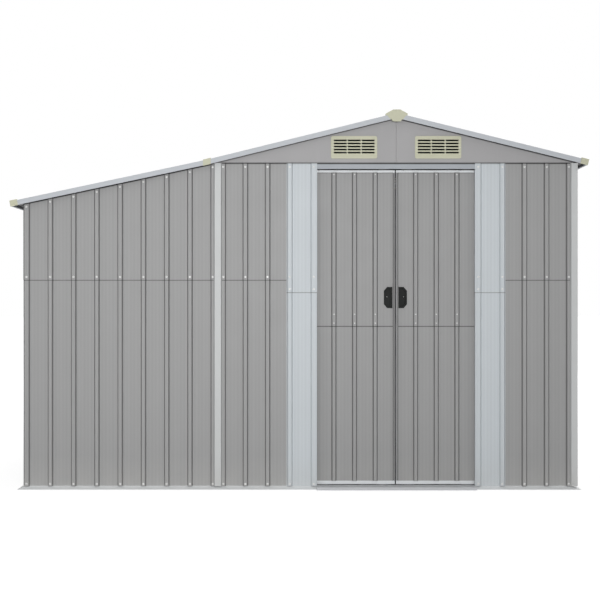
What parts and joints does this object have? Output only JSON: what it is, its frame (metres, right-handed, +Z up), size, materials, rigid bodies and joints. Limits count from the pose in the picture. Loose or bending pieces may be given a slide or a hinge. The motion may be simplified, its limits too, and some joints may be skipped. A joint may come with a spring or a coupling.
{
  "type": "metal storage shed with a lean-to bay",
  "caption": "Hollow sheet-metal storage shed with ribbed walls, a gabled roof, a lean-to bay, gable vents and a pair of sliding doors.",
  "frame": {"origin": "on the ground, under the middle of the box that holds the whole shed", "axes": "+X to the right seen from the doors, +Y from the doors to the back wall, +Z up"},
  "size_m": [2.77, 1.93, 1.82],
  "materials": {
    "wall_sheet": "satin grey coil coating",
    "roof_sheet": "satin grey coil coating",
    "jamb_sheet": "satin pale grey coil coating",
    "post_steel": "satin pale grey coil coating",
    "trim_steel": "satin blue-grey coil coating",
    "door_frame_steel": "satin pale grey coil coating",
    "frame_steel": "galvanised with a soft spangle",
    "beige_plastic": "matt moulded beige",
    "black_plastic": "fine moulded grain"
  },
  "bodies": {
    "shed": {"base_rail_front": "trim_steel", "base_rail_back": "trim_steel", "base_rail_left": "trim_steel", "base_rail_right": "trim_steel", "door_sill": "trim_steel", "door_header": "trim_steel", "middle_posts": "post_steel", "right_corner_posts": "post_steel", "left_corner_angles": "frame_steel", "wall_girts": "frame_steel", "top_rails": "frame_steel", "eave_beams": "frame_steel", "ridge_beam": "frame_steel", "rafters": "frame_steel", "purlins": "frame_steel", "roof_tie": "frame_steel", "lean_to_front_lower": "wall_sheet", "lean_to_front_upper": "wall_sheet", "front_wall_lower": "wall_sheet", "front_wall_upper": "wall_sheet", "door_jambs_lower": "jamb_sheet", "door_jambs_upper": "jamb_sheet", "left_wall_lower": "wall_sheet", "left_wall_upper": "wall_sheet", "right_wall_lower": "wall_sheet", "right_wall_upper": "wall_sheet", "back_wall_lower": "wall_sheet", "back_wall_upper": "wall_sheet", "front_gable": "wall_sheet", "back_gable": "wall_sheet", "front_vents": "beige_plastic", "back_vents": "beige_plastic", "roof_right": "roof_sheet", "roof_left": "roof_sheet", "roof_lean_to": "roof_sheet", "roof_flashings": "trim_steel", "front_verge_trim": "trim_steel", "back_verge_trim": "trim_steel", "eave_trims": "trim_steel", "ridge_caps": "beige_plastic", "roof_edge_caps": "beige_plastic"},
    "left_door": {"left_door_lower": "wall_sheet", "left_door_upper": "wall_sheet", "left_door_frame": "door_frame_steel", "left_door_handle": "black_plastic"},
    "right_door": {"right_door_lower": "wall_sheet", "right_door_upper": "wall_sheet", "right_door_frame": "door_frame_steel", "right_door_handle": "black_plastic"}
  },
  "joints": [
    {"name": "left_door_slide", "type": "slide", "parent": "shed", "child": "left_door", "axis": [-1, 0, 0], "range_m": [0, 0.32]},
    {"name": "right_door_slide", "type": "slide", "parent": "shed", "child": "right_door", "axis": [1, 0, 0], "range_m": [0, 0.32]}
  ]
}
